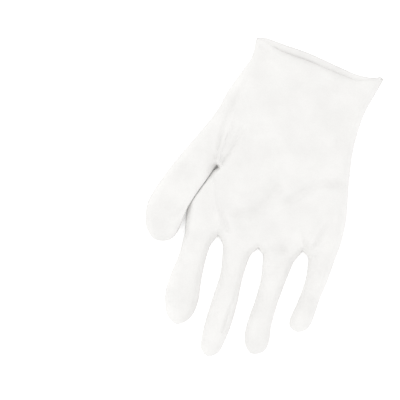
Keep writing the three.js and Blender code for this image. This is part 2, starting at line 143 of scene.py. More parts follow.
# Folds of the front panel: where, the width, the heights at the two ends (below 0 for a
# dent), and the points of the line across and along. Widths and heights are shares of the
# named fold sizes.
FOLDS = [
    ("palm", 0.42, -0.2, -0.5, [(-0.423, 0.23), (-0.44, 0.318), (-0.459, 0.386),
                                 (-0.47, 0.473), (-0.464, 0.55), (-0.447, 0.636)]),
    ("palm", 0.4, -0.2, -0.35, [(-0.404, 0.32), (-0.417, 0.386), (-0.419, 0.46)]),
    ("palm", 0.4, -0.2, -0.5, [(-0.349, 0.443), (-0.362, 0.525), (-0.381, 0.593),
                                (-0.405, 0.652)]),
    ("palm", 0.35, -0.05, -0.15, [(-0.546, 0.523), (-0.506, 0.582), (-0.456, 0.648)]),
    ("palm", 0.4, 0.2, 0.5, [(-0.412, 0.348), (-0.43, 0.484), (-0.434, 0.601),
                               (-0.424, 0.656)]),
    ("palm", 0.45, 0.5, 0.3, [(-0.433, 0.748), (-0.388, 0.816), (-0.327, 0.891),
                              (-0.283, 0.975)]),
    ("palm", 0.4, -0.15, -0.45, [(-0.414, 0.775), (-0.355, 0.845), (-0.298, 0.894),
                                 (-0.226, 0.96)]),
    ("palm", 0.9, -0.35, -0.35, [(-0.238, 0.869), (-0.158, 0.907)]),
    ("palm", 0.8, -0.45, -0.8, [(0.010, 0.681), (-0.028, 0.754), (-0.071, 0.817),
                                (-0.126, 0.851), (-0.196, 0.869)]),
    ("palm", 0.7, -0.6, -0.65, [(0.105, 0.721), (0.165, 0.664), (0.231, 0.621),
                                 (0.301, 0.588), (0.421, 0.574)]),
    ("palm", 1.5, -0.35, -0.35, [(0.19, 0.3), (0.12, 0.15)]),
    ("palm", 0.35, 0.4, 0.1, [(0.289, 0.944), (0.259, 0.893), (0.226, 0.849)]),
    ("palm", 0.3, -0.3, -0.08, [(0.316, 0.927), (0.281, 0.877)]),
    ("palm", 0.4, 0.45, 0.1, [(0.325, 0.914), (0.349, 0.824), (0.381, 0.753)]),
    ("palm", 0.35, -0.25, -0.05, [(0.355, 0.901), (0.378, 0.827), (0.406, 0.762)]),
    ("palm", 0.4, -0.35, -0.1, [(0.38, 0.958), (0.391, 0.919), (0.412, 0.887)]),
    ("palm", 0.6, -0.2, -0.6, [(0.1, 0.98), (0.135, 0.966), (0.172, 0.966)]),
    ("palm", 0.5, -0.6, -0.4, [(-0.392, 0.043), (-0.352, 0.054)]),
    ("ring", 0.7, 0.3, 0.3, [(-0.42, 0.08), (0.46, 0.07)]),
    ("ring", 0.7, -0.5, -0.3, [(-0.65, 0.16), (-0.04, 0.18), (0.74, 0.12)]),
    ("ring", 0.5, -0.3, -0.3, [(-0.22, 0.24), (0.26, 0.23)]),
    ("ring", 1.1, -0.3, -0.25, [(-0.72, 0.41), (-0.1, 0.53), (0.16, 0.72), (0.2, 0.83)]),
    ("index", 1.1, -0.4, -0.6, [(-0.32, 0.12), (-0.4, 0.22), (-0.5, 0.31)]),
    ("index", 0.9, -0.5, -0.15, [(-0.98, 0.69), (-0.51, 0.68), (-0.09, 0.63)]),
    ("index", 0.6, -0.35, -0.2, [(-0.56, 0.79), (0, 0.76)]),
    ("middle", 0.9, -0.45, -0.3, [(-0.34, 0.26), (0.3, 0.32)]),
    ("middle", 0.8, -0.25, -0.3, [(-0.33, 0.45), (-0.43, 0.54), (-0.37, 0.63),
                                  (-0.33, 0.74), (-0.29, 0.85)]),
    ("middle", 0.4, -0.35, -0.2, [(-0.28, 0.63), (-0.09, 0.58)]),
    ("middle", 0.22, -0.35, -0.5, [(0.81, 0.34), (0.83, 0.45), (0.71, 0.56),
                                   (0.63, 0.66), (0.64, 0.76)]),
    ("little", 0.45, -0.4, -0.2, [(-0.24, 0.09), (-0.17, 0.26), (-0.07, 0.4)]),
    ("little", 0.4, -0.2, -0.3, [(-0.21, 0.19), (0.54, 0.2)]),
    ("little", 0.4, -0.2, -0.35, [(0.09, 0.52), (0.52, 0.56)]),
    ("little", 0.9, -0.3, -0.3, [(-0.18, 0.76), (0.2, 0.81)]),
    ("thumb", 0.4, -0.6, -0.2, [(0.55, 0.6), (0.4, 0.67), (0.16, 0.74)]),
    ("thumb", 0.9, -0.2, -0.2, [(-0.42, 0.83), (0.29, 0.85)]),
    ("thumb", 0.5, -0.2, -0.2, [(-1.03, 0.33), (-0.52, 0.29)]),
]

# Thumb, in shares of its length and half width: the slant of its root, how far along its
# rise takes, where it falls again and over what length, what is left of it at the tip, and
# from where across it rises and over what width. Then where its slimness takes hold.
THUMB = {"slant": 0.153, "rise": 0.17, "fall_from": 0.45, "fall": 0.45, "tip_share": 0.2,
         "across_from": -0.6, "across": 1.25, "slim_from": -0.5, "slim_along": 0.3,
         "press_along": 0.1}

# Distances from the seam or an edge over which a form takes: the firm edge under the thumb,
# the folds, the cuff's curl, the gathers and the palm that the thumb presses.
REACH = {"firm": 0.008, "folds": 0.003, "curl": 0.012, "gathers": 0.001, "pressed": 0.012}
GATHERED = 0.004  # no gathers from this distance on
PUFF_FROM_CUFF = 0.3  # share of the palm over which the puff grows from the cuff's
GATHER_STITCHES = 1.6  # stitches to one gather
PRESSED_SLOPE = 2  # how steeply the thumb's limit rises outside its edge
PAST_CUFF = 0.08  # how far the seam is carried on past the open cuff
AT_ONCE = 3000  # places worked on together, which saves memory

# Steps of the grids: across a digit, along a digit, up the palm's side to the thumb and
# along the palm's edge under the thumb.
FINE = {"columns": 30, "rows": 90, "cuff_rows": 80, "edge_rows": 60}
PLAIN = {"columns": 18, "rows": 60, "cuff_rows": 50, "edge_rows": 40}
COSINE_SHARE = 0.4  # how far the columns close up towards the seam
ROOT_SHARE = 0.3  # how far the rows close up towards the tip

# Stitches: points of each, how far inside the outline they run, how much deeper their
# ends are, their height by half the allowance's, and their slant by the stitch length.
STITCH = {"points": 5, "out": 0.0001, "bow": 0.0002, "rise": 2.2, "slant": 0.12}

# Knit: slant and height of the loops against the ribs, height of the fuzz, then the scale,
# detail and roughness of the fuzz, the patches and the grain, their shares of the tone, and
# the range of the noise that the two colours span.
KNIT = {"slant": 1.3, "loop": 0.3, "fuzz_height": 0.8, "strength": 0.6,
        "fuzz": (4200.0, 3.0, 0.6), "patches": (45.0, 3.0, 0.55), "grain": (900.0, 2.0, 0.7),
        "patches_share": 0.7, "grain_share": 0.3, "range": (0.38, 0.62)}

# Stage: the point looked at, the lamp from there (right, up the picture, towards the
# camera), its width, half the floor's width, and the floor's drop below the glove.
LOOKED_AT = (-0.0523, -0.0543)
LAMP_PLACE = (-0.95, 0.25, 1.1)
LAMP_SIZE = 0.7
FLOOR_HALF = 3
FLOOR_DROP = 0.0002
SENSOR = 36.0


class GloveShape(bpy.types.PropertyGroup):
    """Sizes of the glove and of its cloth"""

    palm_length: bpy.props.FloatProperty(
        name="Palm length", description="From the cuff to the finger crotches",
        default=0.15, unit="LENGTH")
    knuckle_width: bpy.props.FloatProperty(
        name="Knuckle width", description="Across the roots of the fingers",
        default=0.112, unit="LENGTH")
    wrist_width: bpy.props.FloatProperty(
        name="Wrist width", description="Across the narrowest part of the palm",
        default=0.096, unit="LENGTH")
    cuff_width: bpy.props.FloatProperty(
        name="Cuff width", description="Between the two corners of the cuff",
        default=0.1002, unit="LENGTH")
    front_dip: bpy.props.FloatProperty(
        name="Front cuff dip", description="Dip of the front panel's raw edge",
        default=0.009, unit="LENGTH")
    back_dip: bpy.props.FloatProperty(
        name="Back cuff dip", description="Dip of the back panel's raw edge",
        default=0.0033, unit="LENGTH")
    wall: bpy.props.FloatProperty(
        name="Wall", description="Thickness of the knit cloth",
        default=0.001, unit="LENGTH")
    seam_height: bpy.props.FloatProperty(
        name="Seam height", description="Height of the seam above the surface",
        default=0.003, unit="LENGTH")
    seam_thickness: bpy.props.FloatProperty(
        name="Seam thickness", description="Thickness of the allowance turned inside",
        default=0.0008, unit="LENGTH")
    seam_width: bpy.props.FloatProperty(
        name="Seam width", description="Width of the allowance turned inside",
        default=0.003, unit="LENGTH")
    seam_recess: bpy.props.FloatProperty(
        name="Seam recess", description="How far inside the outline the allowance starts",
        default=0.0014, unit="LENGTH")
    seam_gap: bpy.props.FloatProperty(
        name="Seam gap", description="Half the gap between the panels at the seam",
        default=0.00015, unit="LENGTH")
    front_radius: bpy.props.FloatProperty(
        name="Front edge radius", description="Rounding of the front panel at the seam",
        default=0.0016, unit="LENGTH")
    back_radius: bpy.props.FloatProperty(
        name="Back edge radius", description="Rounding of the back panel at the seam",
        default=0.003, unit="LENGTH")
    firmness: bpy.props.FloatProperty(
        name="Firmness", description="How much steeper the palm's edge is under the thumb",
        default=1.1, min=0)
    cuff_sag: bpy.props.FloatProperty(
        name="Cuff sag", description="Share of its height that the front cuff edge loses",
        default=0.97, min=0, max=1)
    cuff_roll: bpy.props.FloatProperty(
        name="Cuff roll", description="Distance from the raw edge over which it sags",
        default=0.015, unit="LENGTH")
    cuff_curl: bpy.props.FloatProperty(
        name="Cuff curl", description="Height to which the back panel's raw edge curls up",
        default=0.0034, unit="LENGTH")
    curl_width: bpy.props.FloatProperty(
        name="Curl width", description="Distance from the raw edge over which it curls",
        default=0.009, unit="LENGTH")
    puff: bpy.props.FloatProperty(
        name="Puff", description="How far the front panel rises inside its rounded edge",
        default=0.0042, unit="LENGTH")
    cuff_puff: bpy.props.FloatProperty(
        name="Cuff puff", description="The same rise at the cuff",
        default=0.003, unit="LENGTH")
    puff_reach: bpy.props.FloatProperty(
        name="Puff reach", description="How far from the seam the rise takes",
        default=0.0032, unit="LENGTH")
    palm_rise: bpy.props.FloatProperty(
        name="Palm rise", description="Further rise towards the middle of the palm",
        default=0.0016, unit="LENGTH")
    palm_reach: bpy.props.FloatProperty(
        name="Palm reach", description="How far from the seam that rise takes",
        default=0.026, unit="LENGTH")
    thumb_lift: bpy.props.FloatProperty(
        name="Thumb lift", description="Rise of the thumb's inner side over the palm",
        default=0.0046, unit="LENGTH")
    thumb_slim: bpy.props.FloatProperty(
        name="Thumb slimness", description="Share of the puff on the thumb's inner side",
        default=0.5, min=0, max=1)
    rest_gap: bpy.props.FloatProperty(
        name="Rest gap", description="Gap between the thumb and the palm it lies on",
        default=0.0003, unit="LENGTH")
    fold_width: bpy.props.FloatProperty(
        name="Fold width", description="Width of the widest folds",
        default=0.009, unit="LENGTH")
    fold_height: bpy.props.FloatProperty(
        name="Fold height", description="Height of the highest folds",
        default=0.0038, unit="LENGTH")
    ripple: bpy.props.FloatProperty(
        name="Ripple", description="Height of the shallow unevenness of the cloth",
        default=0.00016, unit="LENGTH")
    pucker: bpy.props.FloatProperty(
        name="Pucker", description="Height of the gathers that the seam pulls in",
        default=0.00012, unit="LENGTH")
    stitch_length: bpy.props.FloatProperty(
        name="Stitch length", description="Distance from one seam stitch to the next",
        default=0.0022, unit="LENGTH")
    thread_radius: bpy.props.FloatProperty(
        name="Thread radius", description="Radius of the sewing thread",
        default=0.00013, unit="LENGTH")


class GloveCloth(bpy.types.PropertyGroup):
    """Colours and knit of the glove"""

    cotton: bpy.props.FloatVectorProperty(
        name="Cotton", description="Colour of the bleached cotton knit",
        default=(0.785, 0.778, 0.764), subtype="COLOR")
    cotton_shade: bpy.props.FloatVectorProperty(
        name="Cotton shade", description="Colour of its slightly thinner patches",
        default=(0.74, 0.733, 0.72), subtype="COLOR")
    thread: bpy.props.FloatVectorProperty(
        name="Thread", description="Colour of the sewing thread",
        default=(0.8, 0.798, 0.79), subtype="COLOR")
    wale: bpy.props.FloatProperty(
        name="Wale", description="Distance between the knit's upright ribs",
        default=0.0009, unit="LENGTH")
    course: bpy.props.FloatProperty(
        name="Course", description="Distance between the knit's rows of loops",
        default=0.0007, unit="LENGTH")
    relief: bpy.props.FloatProperty(
        name="Relief", description="Height of the knit's loops",
        default=0.00009, unit="LENGTH")


class GloveStage(bpy.types.PropertyGroup):
    """Floor, light and camera"""

    floor: bpy.props.FloatVectorProperty(
        name="Floor", description="Colour of the floor",
        default=(0.95, 0.95, 0.95), subtype="COLOR")
    sky: bpy.props.FloatProperty(
        name="Sky", description="Strength of the even light from all round",
        default=1.186, min=0)
    lamp: bpy.props.FloatProperty(
        name="Lamp", description="Power of the soft lamp at the upper left",
        default=1.4, min=0)
    glow: bpy.props.FloatProperty(
        name="Glow", description="Strength of the light that comes up through the floor",
        default=0.2, min=0)
    field: bpy.props.FloatProperty(
        name="Field", description="Width that the camera sees at the seam",
        default=0.3, unit="LENGTH")
    distance: bpy.props.FloatProperty(
        name="Distance", description="Distance from the camera to the seam",
        default=0.85, unit="LENGTH")
    turn: bpy.props.FloatProperty(
        name="Turn", description="Turn of the camera about the upright",
        default=math.radians(18.3), subtype="ANGLE")


def mix(a, b, share):
    """a at share 0, b at share 1, in a straight line between."""
    return a + (b - a) * share


def smooth(value):
    """0 below 0, 1 above 1, and 3v^2 - 2v^3 between."""
    value = np.clip(value, 0, 1)
    return value * value * (3 - 2 * value)


def quarter(distance, radius):
    """Quarter circle: 0 at the edge, 1 from one radius on."""
    return np.sqrt(np.clip(1 - (1 - np.clip(distance / radius, 0, 1)) ** 2, 0, 1))


def curve(points, start=0, stop=None, steps=40):
    """Close points along a Catmull-Rom curve, between two of its control points: cubics
    whose slope at each control point is half the step between its neighbours."""
    points = np.asarray(points, float)
    last = len(points) - 1
    stop = last if stop is None else stop
    t = np.linspace(start, stop, int(round((stop - start) * steps)) + 1)
    i = np.minimum(t.astype(int), last - 1)
    s = (t - i)[:, None]
    before, here, there, after = (points[np.clip(i + k, 0, last)] for k in (-1, 0, 1, 2))
    leave, arrive = (there - before) / 2, (after - here) / 2
    cubic = (2 * here - 2 * there + leave + arrive) * s**3
    return cubic + (-3 * here + 3 * there - 2 * leave - arrive) * s**2 + leave * s + here


def run_of(line):
    """Length along a line up to each of its points."""
    steps = np.linalg.norm(np.diff(line, axis=0), axis=1)
    return np.concatenate([[0], np.cumsum(steps)])


def at_shares(line, shares):
    """Points at shares of a line's length, straight between its close points."""
    run = run_of(line)
    target = np.asarray(shares) * run[-1]
    return np.stack([np.interp(target, run, line[:, k]) for k in range(line.shape[1])], 1)


def fill(root, end, left, right):
    """Coons patch: straight blends of the two sides and of the two ends, less the
    blend of the four corners. Rows run from root to end, columns from left to right."""
    row = np.linspace(0, 1, len(left))[:, None]
    share = [run_of(line) / run_of(line)[-1] for line in (root, end, left, right)]
    u = mix(share[0], share[1], row)
    v = mix(share[2][:, None], share[3][:, None], u)
    u, v = u[..., None], v[..., None]
    sides = mix(left[:, None], right[:, None], u)
    ends = mix(root[None], end[None], v)
    grid = sides + ends - mix(mix(root[0], root[-1], u), mix(end[0], end[-1], u), v)
    grid[0], grid[-1], grid[:, 0], grid[:, -1] = root, end, left, right
    return grid


class Pattern:
    """Flat cut of one panel, laid out as grids that share their edges."""

    def __init__(self, shape, cuff_table, cuff_dip, edge_table, detail):
        self.shape = shape
        self.edge_table = edge_table
        self.widths = {"cuff": shape.cuff_width, "wrist": shape.wrist_width,
                       "knuckle": shape.knuckle_width}
        even = np.linspace(0, 1, detail["columns"] + 1)
        self.columns = mix(even, (1 - np.cos(np.pi * even)) / 2, COSINE_SHARE)
        along = np.linspace(0, 1, detail["rows"] + 1)
        self.rows = along * (1 + ROOT_SHARE * (1 - along))
        self.crotches = np.array([self.on_palm(*row) for row in CROTCHES])
        self.thumb_root = np.array([
            self.on_palm(LEFT_SIDE[-1][1], LEFT_SIDE[-1][0], LEFT_SIDE[-1][2]),
            self.on_palm(*edge_table[0])])
        self.make(cuff_table, cuff_dip, detail)

    def on_palm(self, across, along, width="knuckle"):
        """Place on the palm: across x width, and along the palm from the cuff."""
        return np.array([across * self.widths[width], self.shape.palm_length * (0.5 - along)])

    def digit_frame(self, name):
        """Middle of a digit's root, its axis and the direction across it."""
        if name == "thumb":
            ends = self.thumb_root
        else:
            first = FINGERS.index(name)
            ends = self.crotches[first:first + 2]
        lean = math.radians(DIGITS[name]["lean"])
        axis = np.array([math.sin(lean), -math.cos(lean)])
        return ends.mean(0), axis, np.array([-axis[1], axis[0]])

    def on_digit(self, name, across, along):
        """Place on a digit: along its axis by its length, across by half its width."""
        base, axis, side = self.digit_frame(name)
        digit = DIGITS[name]
        return base + along * digit["length"] * axis + across * digit["width"] / 2 * side

    def place(self, where, across, along):
        """Place on the palm or on a digit from its two shares."""
        if where == "palm":
            return self.on_palm(across, along)
        return self.on_digit(where, across, along)

    def digit(self, name, root):
        """Grid of one digit, from its root to the two corners of its tip."""
        sides = DIGITS[name]["sides"]
        left = [self.on_digit(name, row[1], row[0]) for row in sides]
        right = [self.on_digit(name, row[2], row[0]) for row in sides[::-1]]
        tip = self.on_digit(name, DIGITS[name]["tip"], 1)
        control = np.array([root[0], *left, tip, *right, root[-1]])
        corner, far_corner = len(sides), len(control) - 1 - len(sides)
        end = at_shares(curve(control, corner, far_corner), self.columns)
        first = at_shares(curve(control, 0, corner), self.rows)
        second = at_shares(curve(control, far_corner), 1 - self.rows[::-1])[::-1]
        first[0], first[-1], second[0], second[-1] = root[0], end[0], root[-1], end[-1]
        return fill(root, end, first, second)

    def make(self, cuff_table, cuff_dip, detail):
        """Grids of the palm and the digits, welded, with the seam's run in order."""
        left_control = [self.on_palm(x, y, width) for y, x, width in LEFT_SIDE]
        first = DIGITS["thumb"]["sides"][0]
        left_control.append(self.on_digit("thumb", first[1], first[0]))
        left_line = curve(left_control, 0, len(LEFT_SIDE) - 1)
        side = at_shares(left_line, np.linspace(0, 1, detail["cuff_rows"] + 1))
        root = mix(self.thumb_root[0], self.thumb_root[1], self.columns[:, None])
        edge_line = curve([self.on_palm(*row) for row in self.edge_table])
        edge = at_shares(edge_line, np.linspace(0, 1, detail["edge_rows"] + 1))
        left = np.concatenate([side[:-1], root, edge[1:]])
        left[-1] = self.crotches[0]
        heights = (left[0, 1] - left[:, 1]) / (left[0, 1] - self.crotches[0, 1])
        right_line = curve([self.on_palm(x, y, width) for y, x, width in RIGHT_SIDE])
        right = at_shares(right_line, heights)
        right[-1] = self.crotches[-1]
        knuckles = [self.crotches[:1]]
        for start, stop in zip(self.crotches[:-1], self.crotches[1:]):
            knuckles.append(mix(start, stop, self.columns[1:, None]))
        knuckles = np.concatenate(knuckles)
        across = (knuckles[:, 0] - knuckles[0, 0]) / np.ptp(knuckles[:, 0])
        cuff_line = curve([self.on_palm(x - 0.5, 0, "cuff") - (0, cuff_dip * dip)
                           for x, dip in cuff_table])
        cuff = at_shares(cuff_line, across)
        cuff[0], cuff[-1] = left[0], right[0]
        grids = {"palm": fill(cuff, knuckles, left, right)}
        grids["thumb"] = self.digit("thumb", root)
        count = len(self.columns) - 1
        for group, name in enumerate(FINGERS):
            part = knuckles[group * count:(group + 1) * count + 1]
            grids[name] = self.digit(name, part)
        self.weld(grids)
        self.follow_seam(len(side), len(edge))

    def weld(self, grids):
        """One list of places for all grids, and each grid's numbers in that list."""
        flat = np.concatenate([grid.reshape(-1, 2) for grid in grids.values()])
        keys = np.round(flat * 1e8).astype(np.int64)
        _, first, place = np.unique(keys, axis=0, return_index=True, return_inverse=True)
        place = place.reshape(-1)
        self.points = flat[first]
        self.ids = {}
        start = 0
        for name, grid in grids.items():
            count = grid.shape[0] * grid.shape[1]
            self.ids[name] = place[start:start + count].reshape(grid.shape[:2])
            start += count
        self.faces = np.concatenate([
            np.stack([ids[:-1, :-1], ids[1:, :-1], ids[1:, 1:], ids[:-1, 1:]], -1)
            .reshape(-1, 4) for ids in self.ids.values()])
        self.on_thumb = np.zeros(len(self.points), bool)
        self.on_thumb[self.ids["thumb"]] = True
        self.cuff = self.ids["palm"][0]

    def follow_seam(self, side_count, edge_count):
        """Numbers of the places along the seam from one cuff corner to the other."""
        def around(ids):
            return np.concatenate([ids[1:, 0], ids[-1, 1:], ids[-2:0:-1, -1]])

        palm, thumb = self.ids["palm"], self.ids["thumb"]
        parts = [(palm[:side_count, 0], "side"),
                 (np.concatenate([thumb[1:, 0], thumb[-1, 1:]]), "thumb"),
                 (thumb[-2:0:-1, -1], "thumb inside"),
                 (palm[-edge_count:, 0], "edge")]
        for name in FINGERS:
            ids = self.ids[name]
            parts.append((np.append(around(ids), ids[0, -1]), "finger"))
        parts.append((palm[-2::-1, -1], "right"))
        self.seam = np.concatenate([ids for ids, _ in parts])
        self.seam_part = np.concatenate([[name] * len(ids) for ids, name in parts])
        line = self.points[self.seam]
        ahead = np.diff(line, axis=0)
        ahead /= np.linalg.norm(ahead, axis=1)[:, None]
        turn = np.concatenate([ahead[:1], ahead[:-1] + ahead[1:], ahead[-1:]])
        inward = np.stack([-turn[:, 1], turn[:, 0]], 1)
        self.inward = inward / np.linalg.norm(inward, axis=1)[:, None]
        self.seam_run = run_of(line)

    def soft_distance(self, places, for_thumb):
        """Distance to the seam without creases: 1/distance^3 is summed along every piece
        of the seam, L(|a|+|b|) / (|a||b|(|a||b| + a.b)) for a piece of length L whose ends
        are at a and b, and the distance is the root of 2 over the sum. The seam is carried
        on past the cuff, whose open end is no edge."""
        skip = ("edge", "finger", "right") if for_thumb else ("thumb inside",)
        line, part = self.points[self.seam], self.seam_part
        keep = ~np.isin(part[1:], skip)
        if not for_thumb:
            crotch = np.flatnonzero(part == "edge")[0]
            keep[crotch - 1] = False
        past = np.array([0, PAST_CUFF])
        starts = np.concatenate([line[:-1][keep], line[:1], line[-1:]])
        stops = np.concatenate([line[1:][keep], line[:1] + past, line[-1:] + past])
        if for_thumb:
            starts, stops = starts[:-1], stops[:-1]
        lengths = np.linalg.norm(stops - starts, axis=1)
        found = np.empty(len(places))
        for i in range(0, len(places), AT_ONCE):
            a = starts[None] - places[i:i + AT_ONCE, None]
            b = stops[None] - places[i:i + AT_ONCE, None]
            size_a, size_b = np.linalg.norm(a, axis=2), np.linalg.norm(b, axis=2)
            product = size_a * size_b
            reach = np.maximum(product * (product + (a * b).sum(2)), 1e-18)
            found[i:i + AT_ONCE] = (lengths * (size_a + size_b) / reach).sum(1)
        return np.sqrt(2 / found)

    def thumb_shares(self, places):
        """Across the thumb by its half width, and along it from its slanted root."""
        base, axis, across = self.digit_frame("thumb")
        side = 2 * (places - base) @ across / DIGITS["thumb"]["width"]
        along = (places - base) @ axis / DIGITS["thumb"]["length"]
        return side, along - THUMB["slant"] * side

    def thumb_lift(self, places):
        """Rise of the thumb: 0 at its root and outer side, most along its inner side
        where it lies over the palm, and little at its tip."""
        side, past = self.thumb_shares(places)
        fall = smooth((past - THUMB["fall_from"]) / THUMB["fall"])
        raised = smooth(past / THUMB["rise"]) * mix(1, THUMB["tip_share"], fall)
        across = smooth((side - THUMB["across_from"]) / THUMB["across"])
        return self.shape.thumb_lift * raised * across

    def pressed(self, height):
        """Palm pressed down by the thumb that lies on it: the lower of its own height and
        the thumb's underside less a gap, -k log(e^(-a/k) + e^(-b/k)), and never below the
        seam. Outside the thumb's edge the limit rises steeply."""
        shape = self.shape
        inner = np.flatnonzero(self.seam_part == "thumb inside")
        line = self.points[self.seam[inner]]
        beside = nearest_on(line[::4], self.points)[0] < REACH["pressed"]
        near = np.flatnonzero(~self.on_thumb & beside)
        places = self.points[near]
        gap = places[:, None] - line[None]
        closest = np.linalg.norm(gap, axis=2).argmin(1)
        depth = (gap[np.arange(len(near)), closest] * self.inward[inner][closest]).sum(1)
        rise = shape.seam_height - shape.seam_gap
        under = rise * (1 - quarter(depth, shape.back_radius)) + self.thumb_lift(places)
        limit = under - shape.rest_gap + PRESSED_SLOPE * np.maximum(-depth, 0)
        soft = shape.rest_gap
        lower = -soft * np.logaddexp(-height[near] / soft, -limit / soft)
        lower = np.maximum(lower, np.minimum(height[near], shape.seam_height + shape.seam_gap))
        pressed = height.copy()
        share = smooth(self.thumb_shares(places)[1] / THUMB["press_along"])
        pressed[near] = mix(height[near], lower, share)
        return pressed

    def fold_height(self, places):
        """Folds as bell curves e^-(gap / spread)^2 across lines, whose height changes
        evenly from one end of the line to the other."""
        total = np.zeros(len(places))
        for where, width, first, last, line in FOLDS:
            line = np.array([self.place(where, x, y) for x, y in line])
            gap, run = nearest_on(line, places)
            bell = np.exp(-(2 * gap / (width * self.shape.fold_width)) ** 2)
            total += mix(first, last, run / run_of(line)[-1]) * bell
        return total * self.shape.fold_height

    def cuff_gap(self):
        """Distance from each place to the raw edge, along the palm."""
        edge = self.points[self.cuff]
        return np.interp(self.points[:, 0], edge[:, 0], edge[:, 1]) - self.points[:, 1]

    def seam_distance(self):
        """Soft distance from the seam at every place, the thumb's and the rest's own, and
        halfway between the two along the thumb's root."""
        distance = np.empty(len(self.points))
        distance[~self.on_thumb] = self.soft_distance(self.points[~self.on_thumb], False)
        distance[self.on_thumb] = self.soft_distance(self.points[self.on_thumb], True)
        root = self.ids["thumb"][0]
        distance[root] = (distance[root] + self.soft_distance(self.points[root], False)) / 2
        distance[self.seam] = 0
        return distance

    def front_height(self, distance):
        """Front panel: a quarter circle at the seam, then puff and rise as 1 - e^-(d/reach)^2
        of the distance, with folds, ripples and gathers on them, and rolled down at the
        raw cuff edge."""
        shape = self.shape
        edge = self.points[self.seam][self.seam_part == "edge"]
        near = nearest_on(edge[:len(edge) // 2:4], self.points)[0]
        near = np.exp(-(near / REACH["firm"]) ** 2)
        distance = np.where(self.on_thumb, distance, distance * (1 + shape.firmness * near))
        along = 0.5 - self.points[:, 1] / shape.palm_length
        puff = mix(shape.cuff_puff, shape.puff, smooth(along / PUFF_FROM_CUFF))
        side, past = self.thumb_shares(self.points)
        slim = smooth(side - THUMB["slim_from"]) * smooth(past / THUMB["slim_along"])
        puff *= np.where(self.on_thumb, mix(1, shape.thumb_slim, slim), 1)
        height = shape.seam_height + shape.seam_gap
        height = height + shape.front_radius * quarter(distance, shape.front_radius)
        height += puff * (1 - np.exp(-(distance / shape.puff_reach) ** 2))
        height += shape.palm_rise * (1 - np.exp(-(distance / shape.palm_reach) ** 2))
        relief = self.fold_height(self.points) + shape.ripple * ripples(self.points)
        height += relief * (1 - np.exp(-(distance / REACH["folds"]) ** 2))
        height += shape.pucker * self.puckers(distance)
        height = self.pressed(height)
        gap = self.cuff_gap()
        roll = 1.5 - smooth(gap / shape.cuff_roll) / 2 - quarter(gap, shape.cuff_roll / 2)
        sag = shape.cuff_sag * np.clip(roll, 0, 1)
        return height - sag * np.maximum(height - shape.seam_height, 0)

    def back_height(self, distance):
        """Back panel: a quarter circle from the seam down to the surface, and curled up at
        the raw cuff edge."""
        shape = self.shape
        rise = shape.seam_height - shape.seam_gap
        curl = 1 - smooth(self.cuff_gap() / shape.curl_width)
        curl = shape.cuff_curl * curl * quarter(distance, REACH["curl"])
        return rise * (1 - quarter(distance, shape.back_radius)) + curl

    def heights(self, front):
        """Height of the outer face at every place."""
        distance = self.seam_distance()
        height = self.front_height(distance) if front else self.back_height(distance)
        height[self.on_thumb] += self.thumb_lift(self.points[self.on_thumb])
        return height

    def puckers(self, distance):
        """Small gathers beside the seam: a sine along it, which rises from the seam as
        d e^(1 - d), with d the distance by the gathers' reach, and fades again."""
        near = np.flatnonzero((distance > 0) & (distance < GATHERED))
        line = self.points[self.seam]
        found = np.zeros(len(self.points))
        for i in range(0, len(near), AT_ONCE):
            part = near[i:i + AT_ONCE]
            gap = np.linalg.norm(self.points[part][:, None] - line[None], axis=2)
            run = self.seam_run[gap.argmin(1)]
            gather = self.shape.stitch_length * GATHER_STITCHES
            found[part] = np.sin(2 * np.pi * run / gather)
        gap = distance / REACH["gathers"]
        return found * gap * np.exp(1 - gap)


def ripples(places, seed=7):
    """Shallow unevenness: sines in many directions, 9 to 36 mm long, the long ones
    higher, added up."""
    rng = np.random.default_rng(seed)
    total = np.zeros(len(places))
    for turn in np.arange(36) * math.pi / 36:
        length, phase = 0.009 * 4 ** rng.random(), 2 * np.pi * rng.random()
        wave = places @ (np.cos(turn), np.sin(turn)) * 2 * np.pi / length
        total += length / 0.02 * np.sin(wave + phase) / 4
    return total


def nearest_on(line, places):
    """Distance from each place to a line, and how far along the line it is met."""
    gap = np.full(len(places), np.inf)
    run = np.zeros(len(places))
    starts = run_of(line)
    for i in range(len(line) - 1):
        step = line[i + 1] - line[i]
        share = np.clip((places - line[i]) @ step / (step @ step), 0, 1)
        found = np.linalg.norm(places - line[i] - share[:, None] * step, axis=1)
        closer = found < gap
        gap[closer] = found[closer]
        run[closer] = starts[i] + share[closer] * np.linalg.norm(step)
    return gap, run


def corner_normals(points, faces):
    """Normal at each point: the sum of its faces' normals, each as long as its area."""
    first, second = (points[faces[:, k + 2]] - points[faces[:, k]] for k in (0, 1))
    normal = np.cross(first, second)
    total = np.zeros_like(points)
    for corner in range(4):
        for axis in range(3):
            total[:, axis] += np.bincount(faces[:, corner], normal[:, axis], len(points))
    return total / np.linalg.norm(total, axis=1)[:, None]


def make_object(name, points, faces, uv=None):
    """Mesh object from arrays, smooth shaded, with its cloth coordinates if given."""
    mesh = bpy.data.meshes.new(name)
    mesh.vertices.add(len(points))
    mesh.vertices.foreach_set("co", np.asarray(points, np.float32).ravel())
    mesh.loops.add(faces.size)
    mesh.loops.foreach_set("vertex_index", faces.ravel().astype(np.int32))
    mesh.polygons.add(len(faces))
    starts = np.arange(0, faces.size, faces.shape[1], dtype=np.int32)
    mesh.polygons.foreach_set("loop_start", starts)
    if uv is not None:
        layer = mesh.uv_layers.new(name="cloth")
        layer.data.foreach_set("uv", np.asarray(uv, np.float32)[faces.ravel()].ravel())
    mesh.update(calc_edges=True)
    mesh.validate()
    mesh.polygons.foreach_set("use_smooth", np.ones(len(mesh.polygons), bool))
    obj = bpy.data.objects.new(name, mesh)
    bpy.context.scene.collection.objects.link(obj)
    return obj


